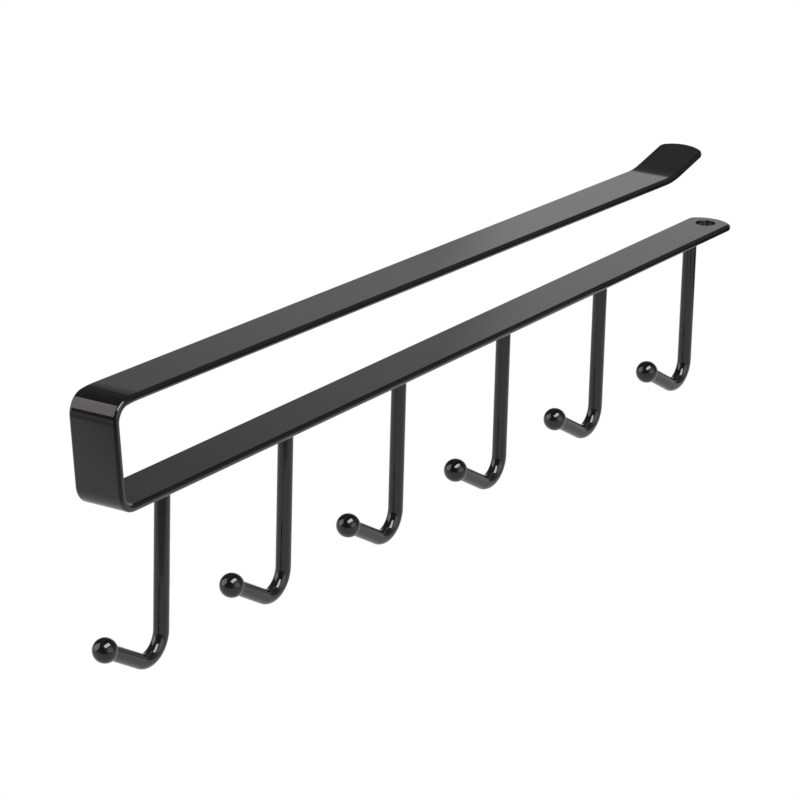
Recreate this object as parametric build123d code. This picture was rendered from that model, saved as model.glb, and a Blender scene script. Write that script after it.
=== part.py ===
"""Under-shelf mug hook rack: a folded strap that clips over a shelf, with a row of welded J hooks under it.

Millimetres, +Z up. The origin is on the lower leg's top face, which lies against the shelf's underside, on the
strap's centre line and halfway along the row of hooks. +X runs from the fold to the open end.
"""

import os
from math import atan2, cos, degrees, radians, sin, sqrt

from build123d import *

# Strip that the strap is folded from
strap_width = 13.35
strap_thickness = 1.95
strap_edge_radius = 0.85

# Fold over the shelf's front edge, with inside bend radii: the web leans out and the legs close to the open end
lower_bend_radius = 3.8
upper_bend_radius = 3.4
web_length = 17.6
web_lean_angle = 7.7
leg_pinch_angle = 1.02

# Upper leg and its upturned lead-in tip
upper_leg_length = 254.73
flare_bend_radius = 12
flare_angle = 15.1
flare_length = 17.05

# Ends of the strip: how far each end's arc stands out, and the radius of its corners
lower_end_rise = 3.1
upper_end_rise = 2.2
end_corner_radius = 2.5

# Row of hooks along the lower leg
hook_count = 6
hook_pitch = 51.6
bend_to_first_hook = 19.6
last_hook_to_tip = 14.95

# One hook: wire bent into a J, measured along its middle line, with a ball on its tip
wire_diameter = 3.85
hook_drop = 44.3
hook_bend_radius = 6.0
hook_turn_angle = 117.7
hook_arm_length = 15.3
ball_diameter = 6.15
weld_leg = 0.7

# Screw hole near the tip of the lower leg
screw_hole_diameter = 5.4
tip_to_screw_hole = 6.15

# Places and sizes that follow from those above
hook_places = [(number - (hook_count - 1) / 2) * hook_pitch for number in range(hook_count)]
bend_start_x = hook_places[0] - bend_to_first_hook
lower_tip_x = hook_places[-1] + last_hook_to_tip
strap_middle_z = -strap_thickness / 2
strap_underside_z = -strap_thickness
wire_radius = wire_diameter / 2
ball_radius = ball_diameter / 2
ball_seat_distance = sqrt(ball_radius**2 - wire_radius**2)


def heading(angle):
    """Direction in the length plane: 0 points to the open end, 90 points up."""
    return Vector(cos(radians(angle)), sin(radians(angle)))


def run(start, angle, length):
    """Straight stretch in the length plane."""
    return Line(start, start + heading(angle) * length)


def strap_path():
    """Middle line of the folded strap, from the lower tip round the fold to the upper tip."""
    half = strap_thickness / 2
    web_angle = 90 + web_lean_angle
    upper_angle = -leg_pinch_angle
    lower_leg = Line((lower_tip_x, strap_middle_z), (bend_start_x, strap_middle_z))
    lower_bend = JernArc(lower_leg @ 1, heading(180), lower_bend_radius + half, web_angle - 180)
    web = run(lower_bend @ 1, web_angle, web_length)
    upper_bend = JernArc(web @ 1, heading(web_angle), upper_bend_radius + half, upper_angle - web_angle)
    upper_leg = run(upper_bend @ 1, upper_angle, upper_leg_length)
    flare_bend = JernArc(upper_leg @ 1, heading(upper_angle), flare_bend_radius + half, flare_angle)
    flare = run(flare_bend @ 1, upper_angle + flare_angle, flare_length)
    return [lower_leg, lower_bend, web, upper_bend, upper_leg, flare_bend, flare]


def end_waste(rise):
    """What blanking takes off an end of the strip, with the tip at the origin and the strip along -X."""
    side = strap_width / 2
    reach = 2 * strap_width
    arc = ThreePointArc((-rise, -side), (0, 0), (-rise, side))
    edges = Polyline((-rise, side), (-reach, side), (-reach, -side), (-rise, -side))
    tongue = make_face(arc + edges)
    tongue = fillet(tongue.vertices().sort_by(Axis.X)[-2:], end_corner_radius)
    waste = Rectangle(2 * reach, 2 * reach) - tongue
    return extrude(waste, strap_thickness, both=True)


def make_strap():
    """Folded strap with arc ends, a screw hole and rounded edges."""
    path = strap_path()
    profile = Plane.XZ * trace(path, strap_thickness)
    strap = extrude(profile, strap_width / 2, both=True)
    strap -= Pos(lower_tip_x, 0, strap_middle_z) * end_waste(lower_end_rise)
    upper_tip = path[-1] @ 1
    tip_tilt = Rot(0, leg_pinch_angle - flare_angle, 0)
    strap -= Pos(upper_tip.X, 0, upper_tip.Y) * tip_tilt * end_waste(upper_end_rise)

    across = strap.edges().filter_by(GeomType.LINE).filter_by(Axis.Y)
    through = strap.edges().filter_by(lambda edge: abs(edge.length - strap_thickness) < 1e-4)
    strap = fillet(strap.edges() - across - through, strap_edge_radius)

    hole_place = Pos(lower_tip_x - tip_to_screw_hole, 0, strap_middle_z)
    return strap - hole_place * Cylinder(screw_hole_diameter / 2, 2 * strap_thickness)


def hook_path():
    """Middle line of one hook's wire, from the strap's underside to the ball's seat, with its stem at X = 0."""
    stem_length = hook_drop - wire_radius - hook_bend_radius
    stem = run(Vector(0, strap_underside_z), -90, stem_length)
    bend = JernArc(stem @ 1, heading(-90), hook_bend_radius, -hook_turn_angle)
    arm = run(bend @ 1, -90 - hook_turn_angle, hook_arm_length - ball_seat_distance)
    return stem + bend + arm


def make_wire():
    """One hook's wire, with the weld's bead round its top end."""
    path = Plane.XZ * hook_path()
    wire = sweep(Plane(path @ 0, z_dir=path % 0) * Circle(wire_radius), path=path)
    bead = Cone(wire_radius, wire_radius + weld_leg, weld_leg)
    return wire + Pos(0, 0, strap_underside_z - weld_leg / 2) * bead


def make_ball():
    """Ball of one hook, with a flat seat on the wire's cut end."""
    seat_angle = degrees(atan2(ball_seat_distance, wire_radius))
    outline = CenterArc((0, 0), ball_radius, -90, 90 + seat_angle)
    seat = Polyline((wire_radius, ball_seat_distance), (0, ball_seat_distance), (0, -ball_radius))
    ball = revolve(make_face(outline + seat), Axis.Y)
    wire_end = hook_path() @ 1
    arm_angle = -90 - hook_turn_angle
    centre = wire_end + heading(arm_angle) * ball_seat_distance
    return Plane.XZ * (Pos(centre.X, centre.Y) * Rot(0, 0, arm_angle + 90) * ball)


os.makedirs("parts", exist_ok=True)
export_step(make_strap(), "parts/strap.step")
wire = make_wire()
ball = make_ball()
for number, place in enumerate(hook_places, start=1):
    export_step(Pos(place, 0, 0) * wire, f"parts/hook_wire_{number}.step")
    export_step(Pos(place, 0, 0) * ball, f"parts/hook_ball_{number}.step")
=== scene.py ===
from math import asin, atan2, cos, pi, radians, sin, sqrt, tan

import bmesh
import bpy
from mathutils import Matrix, Vector


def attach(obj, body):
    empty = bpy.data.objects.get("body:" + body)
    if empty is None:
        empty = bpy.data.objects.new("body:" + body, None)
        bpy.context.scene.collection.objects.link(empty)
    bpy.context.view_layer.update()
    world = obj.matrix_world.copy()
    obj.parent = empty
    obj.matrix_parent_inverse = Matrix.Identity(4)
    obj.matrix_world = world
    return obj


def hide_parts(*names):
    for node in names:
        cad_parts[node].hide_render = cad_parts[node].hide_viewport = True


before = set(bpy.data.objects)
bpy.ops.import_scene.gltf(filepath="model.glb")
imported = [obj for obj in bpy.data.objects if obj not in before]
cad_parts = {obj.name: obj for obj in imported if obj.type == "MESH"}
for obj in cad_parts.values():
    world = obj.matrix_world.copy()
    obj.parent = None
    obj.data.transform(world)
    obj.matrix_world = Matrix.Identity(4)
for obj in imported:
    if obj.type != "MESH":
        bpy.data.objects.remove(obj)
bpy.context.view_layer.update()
bpy.context.scene.view_settings.view_transform = "Standard"

# Strap: one strip of spring steel with arc ends, round edges and a punched screw hole, folded to a U that
# clips over a shelf, its tip turned up. The fold's upper bend springs back and eases into the upper leg.
# The whole rack is dipped and baked in one coat of glossy black after the hooks are welded on.
mm = 0.001
strap_width = 13.35 * mm
strap_thickness = 1.95 * mm
strap_edge_radius = 0.85 * mm
lower_bend_radius = 3.8 * mm
upper_bend_radius = 3.4 * mm
web_length = 17.6 * mm
web_lean = radians(7.7)
leg_pinch = radians(1.02)
first_ease = radians(6)
first_ease_length = 2.5 * mm
last_ease = radians(2.5)
last_ease_length = 3 * mm
upper_leg_length = 254.73 * mm
solid_flare_radius = 12 * mm
soft_flare_radius = 26 * mm
flare_turn = radians(15.1)
flare_length = 17.05 * mm
lower_end_rise = 3.1 * mm
upper_end_rise = 2.2 * mm
end_corner_radius = 2.5 * mm
hole_radius = 2.7 * mm
hole_rim_radius = 0.25 * mm
tip_to_hole = 6.15 * mm
hook_count = 6
hook_pitch = 51.6 * mm
bend_to_first_hook = 19.6 * mm
last_hook_to_tip = 14.95 * mm

hook_places = [(number - (hook_count - 1) / 2) * hook_pitch for number in range(hook_count)]
lower_tip_x = hook_places[-1] + last_hook_to_tip
lower_leg_length = lower_tip_x - hook_places[0] + bend_to_first_hook
strap_half = strap_thickness / 2
lower_fold = radians(90) - web_lean
upper_fold = radians(90) + web_lean + leg_pinch
upper_bend = upper_bend_radius + strap_half
ease_turn = first_ease + last_ease
first_curve = first_ease_length / first_ease
last_curve = last_ease_length / last_ease
ease_height = first_curve * (cos(last_ease) - cos(ease_turn)) + last_curve * (1 - cos(last_ease))
ease_reach = first_curve * (sin(ease_turn) - sin(last_ease)) + last_curve * sin(last_ease)
eased_bend = (upper_bend * (1 - cos(upper_fold)) - ease_height) / (cos(ease_turn) - cos(upper_fold))
leg_start = eased_bend * (sin(upper_fold) - sin(ease_turn)) + ease_reach - upper_bend * sin(upper_fold)
flare_start = (soft_flare_radius - solid_flare_radius) * tan(flare_turn / 2)
strap_runs = [
    (lower_leg_length, 0),
    ((lower_bend_radius + strap_half) * lower_fold, -lower_fold),
    (web_length, 0),
    (eased_bend * (upper_fold - ease_turn), ease_turn - upper_fold),
    (first_ease_length, -first_ease),
    (last_ease_length, -last_ease),
    (upper_leg_length - leg_start - flare_start, 0),
    ((soft_flare_radius + strap_half) * flare_turn, flare_turn),
    (flare_length - flare_start, 0),
]
strap_length = sum(length for length, turn in strap_runs)


def follow(runs, start, heading, distance):
    """Point, direction and right-hand side on a line of straight and curved runs, in the length plane."""
    x, z = start
    for number, (length, turn) in enumerate(runs):
        last = number == len(runs) - 1
        step = distance if last else min(distance, length)
        if turn:
            curve = turn / length
            ahead = heading + curve * step
            x += (sin(ahead) - sin(heading)) / curve
            z += (cos(heading) - cos(ahead)) / curve
            heading = ahead
        else:
            x += cos(heading) * step
            z += sin(heading) * step
        distance -= step
        if distance <= 0:
            break
    along = Vector((cos(heading), 0, sin(heading)))
    side = Vector((sin(heading), 0, -cos(heading)))
    return Vector((x, 0, z)), along, side


def end_outline(rise):
    """Half of a strip end, from the middle of its arc to its side: distance, offset and outward direction."""
    arc_steps = 16
    corner_steps = 12
    half_width = strap_width / 2
    corner = end_corner_radius
    arc = (half_width**2 + rise**2) / (2 * rise)
    corner_offset = half_width - corner
    corner_distance = arc - sqrt((arc - corner) ** 2 - corner_offset**2)
    meet = asin(corner_offset / (arc - corner))
    points = []
    for step in range(arc_steps + 1):
        turn = meet * step / arc_steps
        points.append((arc * (1 - cos(turn)), arc * sin(turn), -cos(turn), sin(turn)))
    for step in range(1, corner_steps + 1):
        turn = meet + (pi / 2 - meet) * step / corner_steps
        across = corner_offset + corner * sin(turn)
        points.append((corner_distance - corner * cos(turn), across, -cos(turn), sin(turn)))
    return points


def strap_stations(first, last):
    """Distances along the strap's side, close together round the bends."""
    bend_step = radians(2.5)
    straight_step = 3 * mm
    least_steps = 2
    gap = 0.6 * mm
    stations = []
    begin = 0
    for length, turn in strap_runs:
        wanted = abs(turn) / bend_step if turn else length / straight_step
        steps = max(least_steps, round(wanted))
        stations += [begin + length * step / steps for step in range(steps)]
        begin += length
    inner = [place for place in stations if first + 2 * gap < place < last - 2 * gap]
    return [first + gap] + inner + [last - gap]


def mesh_piece(name, points, normals, faces, coat):
    """Smooth-shaded piece that takes the place of the solid with the same name."""
    mesh = bpy.data.meshes.new(name)
    mesh.from_pydata(points, [], faces)
    build = bmesh.new()
    build.from_mesh(mesh)
    bmesh.ops.recalc_face_normals(build, faces=build.faces[:])
    build.to_mesh(mesh)
    build.free()
    mesh.shade_smooth()
    mesh.normals_split_custom_set_from_vertices(normals)
    mesh.materials.append(coat)
    piece = bpy.data.objects.new(name + ".finish", mesh)
    bpy.context.collection.objects.link(piece)
    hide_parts(name)
    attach(piece, "root")


def black_coat():
    """Glossy baked black coat: deep black, a little uneven in gloss, with a faint orange peel."""
    coat = bpy.data.materials.new("black_coat_finish")
    coat.use_nodes = True
    nodes, links = coat.node_tree.nodes, coat.node_tree.links
    surface = nodes["Principled BSDF"]
    surface.inputs["IOR"].default_value = 1.5
    place = nodes.new("ShaderNodeTexCoord")

    def cloud(scale, detail):
        """Soft noise that lies still on the piece."""
        noise = nodes.new("ShaderNodeTexNoise")
        noise.inputs["Scale"].default_value = scale
        noise.inputs["Detail"].default_value = detail
        links.new(place.outputs["Object"], noise.inputs["Vector"])
        return noise.outputs["Fac"]

    drift = cloud(scale=70, detail=3)
    peel = cloud(scale=900, detail=2)
    grain = cloud(scale=4200, detail=2)

    tint = nodes.new("ShaderNodeValToRGB")
    tint.color_ramp.elements[0].position = 0.3
    tint.color_ramp.elements[0].color = (0.0052, 0.0052, 0.0056, 1)
    tint.color_ramp.elements[1].position = 0.7
    tint.color_ramp.elements[1].color = (0.0085, 0.0085, 0.0088, 1)
    links.new(drift, tint.inputs["Fac"])
    links.new(tint.outputs["Color"], surface.inputs["Base Color"])

    gloss = nodes.new("ShaderNodeMix")
    gloss.inputs[0].default_value = 0.4
    links.new(drift, gloss.inputs[2])
    links.new(grain, gloss.inputs[3])
    roughness = nodes.new("ShaderNodeMapRange")
    roughness.inputs["From Min"].default_value = 0.3
    roughness.inputs["From Max"].default_value = 0.7
    roughness.inputs["To Min"].default_value = 0.045
    roughness.inputs["To Max"].default_value = 0.075
    links.new(gloss.outputs[0], roughness.inputs["Value"])
    links.new(roughness.outputs["Result"], surface.inputs["Roughness"])

    ripple = nodes.new("ShaderNodeBump")
    ripple.inputs["Strength"].default_value = 0.45
    ripple.inputs["Distance"].default_value = 0.000012
    links.new(peel, ripple.inputs["Height"])
    links.new(ripple.outputs["Normal"], surface.inputs["Normal"])
    return coat


def make_strap(coat):
    """Flat blank with rounded edges, then folded along the strap's runs."""
    edge_steps = 10
    rim_steps = 3
    hole_steps = 48
    start = (lower_tip_x, -strap_half)
    lower_end = end_outline(lower_end_rise)
    upper_end = end_outline(upper_end_rise)
    stations = strap_stations(lower_end[-1][0], strap_length - upper_end[-1][0])
    outline = lower_end + [(place, strap_width / 2, 0, 1) for place in stations]
    outline += [(strap_length - place, across, -out, over)
                for place, across, out, over in reversed(upper_end)]
    ends = len(outline) - 1
    outline += [(place, -across, out, -over) for place, across, out, over in reversed(outline[1:-1])]
    count = len(outline)

    points, normals, faces = [], [], []

    def put(place, across, height, normal):
        """One corner of the blank, carried to its place on the folded strap."""
        middle, along, side = follow(strap_runs, start, pi, place)
        points.append(middle + Vector((0, across, 0)) + side * height)
        normals.append((along * normal[0] + Vector((0, normal[1], 0)) + side * normal[2]).normalized())

    def edge_turns(steps):
        """Angles round a rounded edge, from the outside of the fold (-1) to its inside (1)."""
        outside = [(pi / 2 * step / steps, -1) for step in range(steps, -1, -1)]
        inside = [(pi / 2 * step / steps, 1) for step in range(steps + 1)]
        return outside + inside

    turns = edge_turns(edge_steps)
    for turn, face in turns:
        inset = strap_edge_radius * (1 - cos(turn))
        height = face * (strap_half - strap_edge_radius + strap_edge_radius * sin(turn))
        lean = cos(turn)
        for place, across, out, over in outline:
            normal = (out * lean, over * lean, face * sin(turn))
            put(place - inset * out, across - inset * over, height, normal)
    for ring in range(len(turns) - 1):
        for place in range(count):
            following = (place + 1) % count
            faces.append((ring * count + place, ring * count + following,
                          (ring + 1) * count + following, (ring + 1) * count + place))

    hole_start = len(points)
    hole_turns = edge_turns(rim_steps)
    for turn, face in hole_turns:
        radius = hole_radius + hole_rim_radius * (1 - cos(turn))
        height = face * (strap_half - hole_rim_radius + hole_rim_radius * sin(turn))
        for step in range(hole_steps):
            around = 2 * pi * step / hole_steps
            put(tip_to_hole + radius * cos(around), radius * sin(around), height,
                (-cos(around) * cos(turn), -sin(around) * cos(turn), face * sin(turn)))
    for ring in range(len(hole_turns) - 1):
        for step in range(hole_steps):
            following = (step + 1) % hole_steps
            first = hole_start + ring * hole_steps
            faces.append((first + step, first + following,
                          first + hole_steps + following, first + hole_steps + step))

    past_hole = tip_to_hole + 2 * hole_radius
    beyond_hole = next(number for number in range(ends) if outline[number][0] > past_hole)
    inside_rim = hole_start + (len(hole_turns) - 1) * hole_steps
    for ring, rim in ((0, hole_start), (len(turns) - 1, inside_rim)):
        base = ring * count
        for place in range(beyond_hole, ends):
            if place == ends - 1:
                faces.append((base + place, base + ends, base + count - place))
            else:
                faces.append((base + place, base + place + 1, base + count - place - 1, base + count - place))
        fan = bmesh.new()
        border = [base + number for number in range(beyond_hole, -1, -1)]
        border += [base + count - number for number in range(1, beyond_hole + 1)]
        circle = [rim + step for step in range(hole_steps)]
        corner_of = {}
        for number in border + circle:
            corner = fan.verts.new(points[number])
            corner_of[corner] = number
        fan.verts.index_update()
        loop = list(corner_of)
        for ringed in (loop[: len(border)], loop[len(border):]):
            for step, corner in enumerate(ringed):
                fan.edges.new((corner, ringed[(step + 1) % len(ringed)]))
        bmesh.ops.triangle_fill(fan, use_beauty=True, use_dissolve=False, edges=fan.edges[:])
        faces += [tuple(corner_of[corner] for corner in face.verts) for face in fan.faces]
        fan.free()
    mesh_piece("strap", points, normals, faces, coat)


coat = black_coat()
make_strap(coat)

# Hook wires: round steel wire bent to a J, open to the fold, its top end welded square under the lower leg.
# A small bead of weld runs round the top end, softened by the coat that lies over it.
wire_radius = 1.925 * mm
hook_drop = 44.3 * mm
hook_bend_radius = 6.0 * mm
hook_turn = radians(117.7)
hook_arm_length = 15.3 * mm
ball_radius = 3.075 * mm
weld_leg = 0.7 * mm

ball_seat = sqrt(ball_radius**2 - wire_radius**2)
stem_length = hook_drop - wire_radius - hook_bend_radius
bend_length = hook_bend_radius * hook_turn
arm_length = hook_arm_length - ball_seat
hook_runs = [(stem_length, 0), (bend_length, -hook_turn), (arm_length, 0)]
hook_length = sum(length for length, turn in hook_runs)


def make_wire(number, place, coat):
    """Bent wire with a hollow bead of weld round its top end, a little different on each hook."""
    bead_steps = 8
    stem_steps = 12
    bend_steps = 48
    arm_steps = 6
    around_steps = 56
    bead_fullness = 0.9
    broad_lump = 0.12
    small_lump = 0.08
    stations = []
    for step in range(bead_steps + 1):
        turn = pi / 2 * step / bead_steps
        stations.append((weld_leg * (1 - cos(turn)), weld_leg * (1 - sin(turn)), pi / 2 - turn))
    plain = [weld_leg + (stem_length - weld_leg) * step / stem_steps for step in range(1, stem_steps + 1)]
    plain += [stem_length + bend_length * step / bend_steps for step in range(1, bend_steps + 1)]
    plain += [stem_length + bend_length + arm_length * step / arm_steps for step in range(1, arm_steps + 1)]
    stations += [(distance, 0, 0) for distance in plain]
    points, normals, faces = [], [], []
    for distance, spread, lean in stations:
        middle, along, side = follow(hook_runs, (place, -strap_thickness), -pi / 2, distance)
        for step in range(around_steps):
            around = 2 * pi * step / around_steps
            lump = 1 + broad_lump * sin(2 * around + number) + small_lump * sin(5 * around + 2.3 * number)
            out = side * cos(around) + Vector((0, sin(around), 0))
            points.append(middle + out * (wire_radius + spread * lump * bead_fullness))
            normals.append((out * cos(lean) + along * sin(lean)).normalized())
    for ring in range(len(stations) - 1):
        for step in range(around_steps):
            following = (step + 1) % around_steps
            first = ring * around_steps
            faces.append((first + step, first + following,
                          first + around_steps + following, first + around_steps + step))
    last = (len(stations) - 1) * around_steps
    faces.append(tuple(range(around_steps)))
    faces.append(tuple(range(last, last + around_steps)))
    mesh_piece(f"hook_wire_{number}", points, normals, faces, coat)


for number, place in enumerate(hook_places, start=1):
    make_wire(number, place, coat)

# Hook balls: solid steel balls, one welded on the cut end of each wire so that a mug's handle can't slip off.
# The weld leaves a narrow hollow neck between ball and wire, and the coat fills it smooth.
neck_radius = 0.5 * mm


def make_ball(number, place, coat):
    """Ball and its neck, turned about the wire's own line."""
    ball_steps = 40
    neck_steps = 8
    around_steps = 64
    neck_out = wire_radius + neck_radius
    neck_along = sqrt((ball_radius + neck_radius) ** 2 - neck_out**2)
    meet = atan2(neck_along, neck_out)
    profile = []
    for step in range(1, ball_steps + 1):
        turn = -pi / 2 + (pi / 2 + meet) * step / ball_steps
        profile.append((ball_radius * cos(turn), ball_radius * sin(turn), turn))
    for step in range(1, neck_steps + 1):
        turn = pi + meet - meet * step / neck_steps
        profile.append((neck_out + neck_radius * cos(turn), neck_along + neck_radius * sin(turn), turn - pi))
    end, along, side = follow(hook_runs, (place, -strap_thickness), -pi / 2, hook_length)
    centre = end + along * ball_seat
    back = -along
    points, normals, faces = [centre - back * ball_radius], [-back], []
    for out_by, along_by, lean in profile:
        for step in range(around_steps):
            around = 2 * pi * step / around_steps
            out = side * cos(around) + Vector((0, sin(around), 0))
            points.append(centre + out * out_by + back * along_by)
            normals.append((out * cos(lean) + back * sin(lean)).normalized())
    for step in range(around_steps):
        faces.append((0, 1 + step, 1 + (step + 1) % around_steps))
    for ring in range(len(profile) - 1):
        for step in range(around_steps):
            following = (step + 1) % around_steps
            first = 1 + ring * around_steps
            faces.append((first + step, first + following,
                          first + around_steps + following, first + around_steps + step))
    last = 1 + (len(profile) - 1) * around_steps
    faces.append(tuple(range(last, last + around_steps)))
    mesh_piece(f"hook_ball_{number}", points, normals, faces, coat)


for number, place in enumerate(hook_places, start=1):
    make_ball(number, place, coat)

# Floor: a wide pale floor, well below the rack, which hangs free as it does under a shelf.
# It keeps the rack's soft shadow near its middle and runs out to plain white further off. To the gloss alone
# it glows with painted light, as a dim room.
floor_height = -0.30
floor_reach = 40
shadow_reach = 0.30
white_from = 0.44
shadow_whiteness = 0.5
# Lowest level of the floor's painted glow that the gloss sees.
mirrored_dim = 0.06


def floor_paint():
    """Matt white, which the camera sees as plain white further off, and which glows with painted light that
    the gloss alone sees as a dim room.
    """
    paint = bpy.data.materials.new("floor_white")
    paint.use_nodes = True
    nodes, links = paint.node_tree.nodes, paint.node_tree.links
    nodes.clear()
    output = nodes.new("ShaderNodeOutputMaterial")
    matt = nodes.new("ShaderNodeBsdfDiffuse")
    matt.inputs["Color"].default_value = (0.9, 0.9, 0.9, 1)
    white = nodes.new("ShaderNodeEmission")
    white.inputs["Color"].default_value = (1, 1, 1, 1)
    # Painted light: the floor's glow that only the gloss sees, a dim room that is brighter toward three
    # sides.
    dim = nodes.new("ShaderNodeEmission")
    clear = nodes.new("ShaderNodeBsdfTransparent")
    ray = nodes.new("ShaderNodeLightPath")
    geometry = nodes.new("ShaderNodeNewGeometry")
    far = nodes.new("ShaderNodeVectorMath")
    far.operation = "LENGTH"
    links.new(geometry.outputs["Position"], far.inputs[0])
    fade = nodes.new("ShaderNodeMapRange")
    fade.interpolation_type = "SMOOTHSTEP"
    fade.inputs["From Min"].default_value = shadow_reach
    fade.inputs["From Max"].default_value = white_from
    fade.inputs["To Min"].default_value = shadow_whiteness
    links.new(far.outputs["Value"], fade.inputs["Value"])
    seen = nodes.new("ShaderNodeMath")
    seen.operation = "MULTIPLY"
    links.new(ray.outputs["Is Camera Ray"], seen.inputs[0])
    links.new(fade.outputs["Result"], seen.inputs[1])
    shown = nodes.new("ShaderNodeMixShader")
    links.new(seen.outputs["Value"], shown.inputs["Fac"])
    links.new(matt.outputs["BSDF"], shown.inputs[1])
    links.new(white.outputs["Emission"], shown.inputs[2])
    way = nodes.new("ShaderNodeVectorMath")
    way.operation = "NORMALIZE"
    links.new(geometry.outputs["Position"], way.inputs[0])

    def pale_side(direction, dark, bright, most):
        """Level of the floor's painted glow, seen by the gloss alone, that rises towards one side of the
        room.
        """
        along = nodes.new("ShaderNodeVectorMath")
        along.operation = "DOT_PRODUCT"
        along.inputs[1].default_value = direction
        links.new(way.outputs["Vector"], along.inputs[0])
        side = nodes.new("ShaderNodeMapRange")
        side.inputs["From Min"].default_value = dark
        side.inputs["From Max"].default_value = bright
        side.inputs["To Min"].default_value = mirrored_dim
        side.inputs["To Max"].default_value = most
        links.new(along.outputs["Value"], side.inputs["Value"])
        return side.outputs["Result"]

    def brighter(first, second):
        """The higher of two levels."""
        choice = nodes.new("ShaderNodeMath")
        choice.operation = "MAXIMUM"
        links.new(first, choice.inputs[0])
        links.new(second, choice.inputs[1])
        return choice.outputs["Value"]

    left_side = pale_side((-0.75, 0.66, 0), dark=0.66, bright=0.90, most=0.55)
    near_side = pale_side((0.09, -0.99, 0), dark=0.70, bright=0.92, most=0.80)
    open_end = pale_side((0.993, 0.119, 0), dark=0.895, bright=0.94, most=0.80)
    links.new(brighter(brighter(left_side, near_side), open_end), dim.inputs["Strength"])
    mirrored = nodes.new("ShaderNodeMixShader")
    links.new(ray.outputs["Is Glossy Ray"], mirrored.inputs["Fac"])
    links.new(shown.outputs["Shader"], mirrored.inputs[1])
    links.new(dim.outputs["Emission"], mirrored.inputs[2])
    below = nodes.new("ShaderNodeMixShader")
    links.new(geometry.outputs["Backfacing"], below.inputs["Fac"])
    links.new(mirrored.outputs["Shader"], below.inputs[1])
    links.new(clear.outputs["BSDF"], below.inputs[2])
    links.new(below.outputs["Shader"], output.inputs["Surface"])
    paint.cycles.emission_sampling = "NONE"
    return paint


def level_sheet(name, corners, height, paint):
    """Flat level sheet of the studio, which is no part of the rack."""
    mesh = bpy.data.meshes.new(name)
    mesh.from_pydata([(x, y, height) for x, y in corners], [], [tuple(range(len(corners)))])
    mesh.materials.append(paint)
    sheet = bpy.data.objects.new(name, mesh)
    bpy.context.collection.objects.link(sheet)
    return sheet


floor_corners = [(-floor_reach, -floor_reach), (floor_reach, -floor_reach),
                 (floor_reach, floor_reach), (-floor_reach, floor_reach)]
level_sheet("floor", floor_corners, floor_height, floor_paint())

# Reflector: a white card just under the hooks, which only the coat's gloss sees.
# Its front edges lie close to the rack. It glows with painted light, as a lit white card would, and painted
# shade darkens it to the edge that faces the camera.
card_height = -0.048
card_corners = [(-0.146, -0.22), (0, -0.20), (0.04, -0.095), (0.20, -0.095),
                (0.20, 0.03), (0.80, 0.30), (0.80, 0.80), (-0.78, 0.80)]
away_from_camera = (0.85, 0.526, 0)


def card_paint():
    """Glowing white of painted light, with painted shade that darkens it to the edge that faces the camera.
    """
    paint = bpy.data.materials.new("card_painted_glow")
    paint.use_nodes = True
    nodes, links = paint.node_tree.nodes, paint.node_tree.links
    nodes.clear()
    output = nodes.new("ShaderNodeOutputMaterial")
    # The card's white is painted light: it glows as a lit card would, and only the gloss sees it.
    white = nodes.new("ShaderNodeEmission")
    geometry = nodes.new("ShaderNodeNewGeometry")
    along = nodes.new("ShaderNodeVectorMath")
    along.operation = "DOT_PRODUCT"
    along.inputs[1].default_value = away_from_camera
    links.new(geometry.outputs["Position"], along.inputs[0])
    # Painted shade: the card's glow dims toward its edge that faces the camera.
    shade = nodes.new("ShaderNodeMapRange")
    shade.interpolation_type = "SMOOTHSTEP"
    shade.inputs["From Min"].default_value = -0.183
    shade.inputs["From Max"].default_value = -0.155
    shade.inputs["To Min"].default_value = 0.40
    shade.inputs["To Max"].default_value = 0.84
    links.new(along.outputs["Value"], shade.inputs["Value"])
    links.new(shade.outputs["Result"], white.inputs["Strength"])
    links.new(white.outputs["Emission"], output.inputs["Surface"])
    paint.cycles.emission_sampling = "NONE"
    return paint


card = level_sheet("reflector", card_corners, card_height, card_paint())
card.visible_camera = False
card.visible_diffuse = False
card.visible_shadow = False

# Light: a long soft box overhead, made of a lamp for the rack and a brighter one for the coat's gloss alone,
# a tall one behind the fold and a dim one over the open end. The studio is dim: a wall low down behind the
# open end has one pale panel, and a pale patch is at the rack's right.


def facing(place, aim, along):
    """Place of a lamp or camera that looks at a point, with its width near a given direction."""
    back = (Vector(place) - Vector(aim)).normalized()
    level = (Vector(along) - back * Vector(along).dot(back)).normalized()
    return Matrix.Translation(place) @ Matrix((level, back.cross(level), back)).transposed().to_4x4()


def soft_box(name, place, aim, length, width, radiance, along):
    """Lamp with an evenly bright front that the camera doesn't see."""
    lamp = bpy.data.lights.new(name, "AREA")
    lamp.shape = "RECTANGLE"
    lamp.size = length
    lamp.size_y = width
    lamp.energy = radiance * pi * length * width
    box = bpy.data.objects.new(name, lamp)
    box.matrix_world = facing(place, aim, along)
    box.visible_camera = False
    bpy.context.collection.objects.link(box)
    return box


rack_middle = (0, 0, 0)
overhead_along = (1, -0.07, 0)
overhead = soft_box("overhead_soft_box", (-0.31, -0.64, 1.24), rack_middle,
                    length=1.45, width=0.70, radiance=5.6, along=overhead_along)
overhead.visible_glossy = False
gleam = soft_box("overhead_gleam", (-0.30, -0.62, 1.20), rack_middle,
                 length=1.40, width=0.62, radiance=11, along=overhead_along)
gleam.visible_diffuse = False
rear = soft_box("rear_soft_box", (-0.959, 1.129, 0.597), (-0.509, -0.147, -0.063),
                length=1.30, width=1.43, radiance=2.6, along=(0.936, 0.171, 0.308))
rear.data.color = (1, 0.92, 0.94)
soft_box("tip_soft_box", (0.42, 0.275, 0.304), (0.11, 0, 0.024),
         length=0.25, width=0.30, radiance=0.06, along=(0.664, -0.748, 0))

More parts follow.
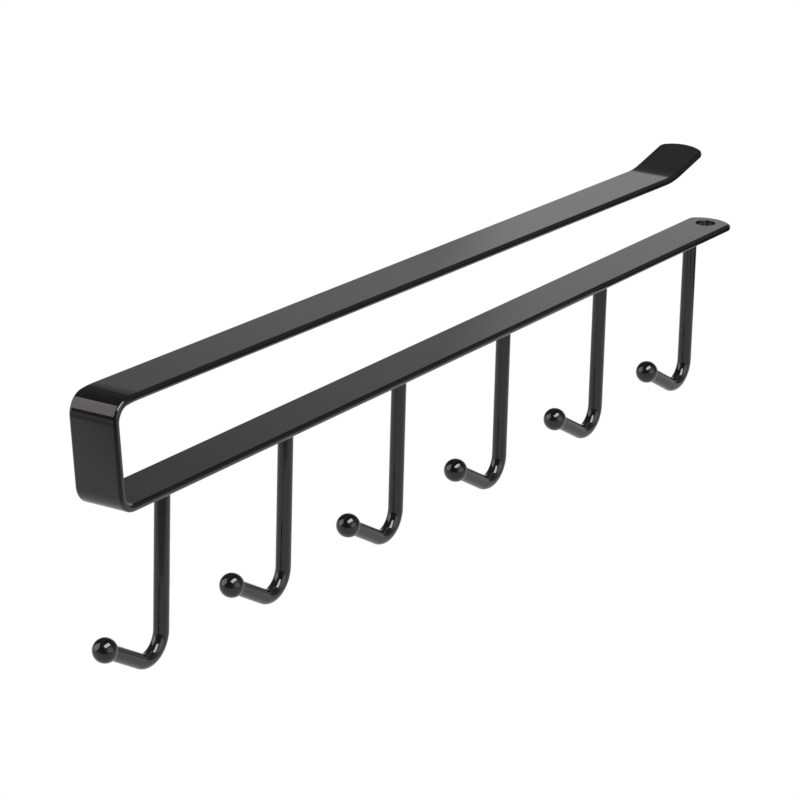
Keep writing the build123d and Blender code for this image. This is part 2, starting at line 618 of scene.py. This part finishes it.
studio = bpy.data.worlds.new("studio")
bpy.context.scene.world = studio
studio.use_nodes = True
nodes, links = studio.node_tree.nodes, studio.node_tree.links
nodes.clear()
output = nodes.new("ShaderNodeOutputWorld")
toward = nodes.new("ShaderNodeTexCoord")
split = nodes.new("ShaderNodeSeparateXYZ")
links.new(toward.outputs["Generated"], split.inputs["Vector"])


def nearness(direction):
    """How near a part of the studio lies to a direction: 1 there, and -1 opposite."""
    along = nodes.new("ShaderNodeVectorMath")
    along.operation = "DOT_PRODUCT"
    along.inputs[1].default_value = direction
    links.new(toward.outputs["Generated"], along.inputs[0])
    return along.outputs["Value"]


def fade(value, start, end, first, last, curve="LINEAR"):
    """Level that goes from first to last as a value goes from start to end."""
    change = nodes.new("ShaderNodeMapRange")
    change.interpolation_type = curve
    change.inputs["From Min"].default_value = start
    change.inputs["From Max"].default_value = end
    change.inputs["To Min"].default_value = first
    change.inputs["To Max"].default_value = last
    links.new(value, change.inputs["Value"])
    return change.outputs["Result"]


def soft_fade(value, start, end, first, last):
    """The same, with both ends eased."""
    return fade(value, start, end, first, last, "SMOOTHSTEP")


def join(operation, first, second):
    """Two levels joined by a sum or a product."""
    joined = nodes.new("ShaderNodeMath")
    joined.operation = operation
    links.new(first, joined.inputs[0])
    links.new(second, joined.inputs[1])
    return joined.outputs["Value"]


def times(first, second):
    """Product of two levels."""
    return join("MULTIPLY", first, second)


def plus(first, second):
    """Sum of two levels."""
    return join("ADD", first, second)


height = split.outputs["Z"]
aside = nearness((-0.5, 0.866, 0))
wall_tone = plus(fade(aside, start=0.15, end=0.03, first=0.12, last=0.40),
                 soft_fade(aside, start=0.02, end=-0.005, first=0, last=0.40))
wall = times(soft_fade(height, start=0.405, end=0.245, first=0, last=0.8), wall_tone)
wall = times(wall, fade(split.outputs["Y"], start=-0.25, end=0, first=0.1, last=1))
beside = nearness((-0.05, -0.97, 0.24))
patch = plus(soft_fade(beside, start=0.80, end=0.99, first=0, last=1.45),
             soft_fade(beside, start=0.55, end=0.85, first=0, last=0.2))
ceiling = soft_fade(height, start=0.78, end=0.98, first=0, last=0.12)
right_hand = nearness((0.7, -0.7, 0))
haze = plus(fade(split.outputs["X"], start=0.3, end=-0.7, first=0.08, last=0.04),
            fade(right_hand, start=0, end=0.8, first=0, last=0.08))
room = plus(plus(wall, patch), plus(ceiling, haze))
ray = nodes.new("ShaderNodeLightPath")
plain = nodes.new("ShaderNodeMix")
plain.inputs[2].default_value = 0.08
links.new(ray.outputs["Is Glossy Ray"], plain.inputs[0])
links.new(room, plain.inputs[3])
shown = nodes.new("ShaderNodeMix")
shown.inputs[3].default_value = 1
links.new(ray.outputs["Is Camera Ray"], shown.inputs[0])
links.new(plain.outputs[0], shown.inputs[2])
back_light = nodes.new("ShaderNodeBackground")
back_light.inputs["Color"].default_value = (1, 1, 1, 1)
links.new(shown.outputs[0], back_light.inputs["Strength"])
links.new(back_light.outputs["Background"], output.inputs["Surface"])

# Camera: a long lens in front of the fold, to the left of the rack and a little above it.
# It is rolled slightly, as the photo is.
camera_place = Vector((-855.78, -514.03, 316.34)) * mm
camera_aim = Vector((-25.06, 0, -9.52)) * mm
camera_roll = radians(1.559)
lens = bpy.data.cameras.new("camera")
lens.sensor_width = 36
lens.lens = 182.7
lens.clip_start = 0.05
lens.clip_end = 100
camera = bpy.data.objects.new("camera", lens)
level = Vector((0, 0, 1)).cross(camera_place - camera_aim)
camera.matrix_world = facing(camera_place, camera_aim, level) @ Matrix.Rotation(camera_roll, 4, "Z")
bpy.context.collection.objects.link(camera)
bpy.context.scene.camera = camera
